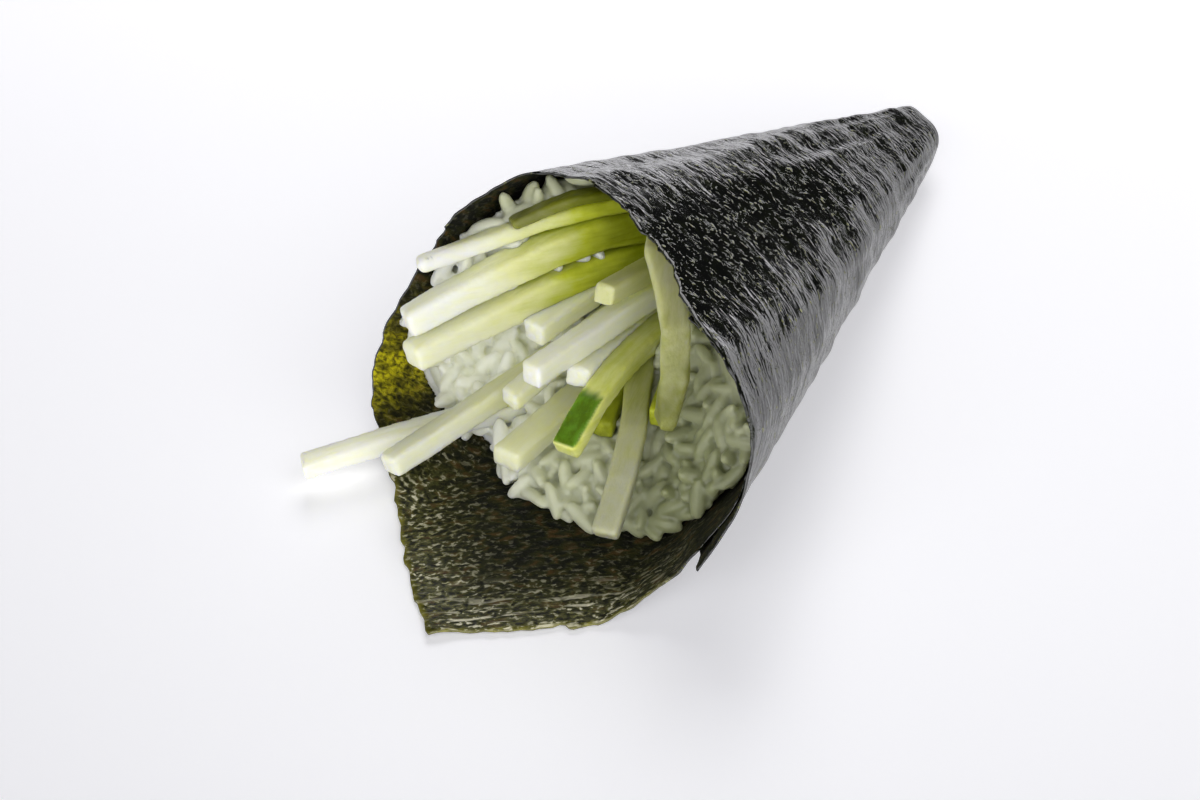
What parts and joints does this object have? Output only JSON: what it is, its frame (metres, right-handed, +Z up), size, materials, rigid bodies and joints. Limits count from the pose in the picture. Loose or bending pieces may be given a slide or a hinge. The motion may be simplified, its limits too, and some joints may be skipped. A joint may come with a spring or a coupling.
{
  "type": "hand roll",
  "caption": "Hand roll lying on its side: a dark seaweed cone round rice, with cut cucumber sticks fanning out of its open mouth.",
  "frame": {"origin": "on the surface the roll lies on, under the middle of its bounding box", "axes": "+X from the open mouth to the closed tip, +Y towards the side that the long sticks lean to, +Z up from the surface"},
  "size_m": [0.1737, 0.0808, 0.0481],
  "materials": {
    "nori": "satin",
    "rice": "satin",
    "cucumber": "moist"
  },
  "bodies": {
    "root": {"nori_sheet": "nori", "rice_filling": "rice", "cucumber_stick_01": "cucumber", "cucumber_stick_02": "cucumber", "cucumber_stick_03": "cucumber", "cucumber_stick_04": "cucumber", "cucumber_stick_05": "cucumber", "cucumber_stick_06": "cucumber", "cucumber_stick_07": "cucumber", "cucumber_stick_08": "cucumber", "cucumber_stick_09": "cucumber", "cucumber_stick_10": "cucumber", "cucumber_stick_11": "cucumber", "cucumber_stick_12": "cucumber", "cucumber_stick_13": "cucumber", "cucumber_stick_14": "cucumber", "cucumber_stick_15": "cucumber", "cucumber_stick_16": "cucumber", "cucumber_stick_17": "cucumber"}
  },
  "joints": []
}
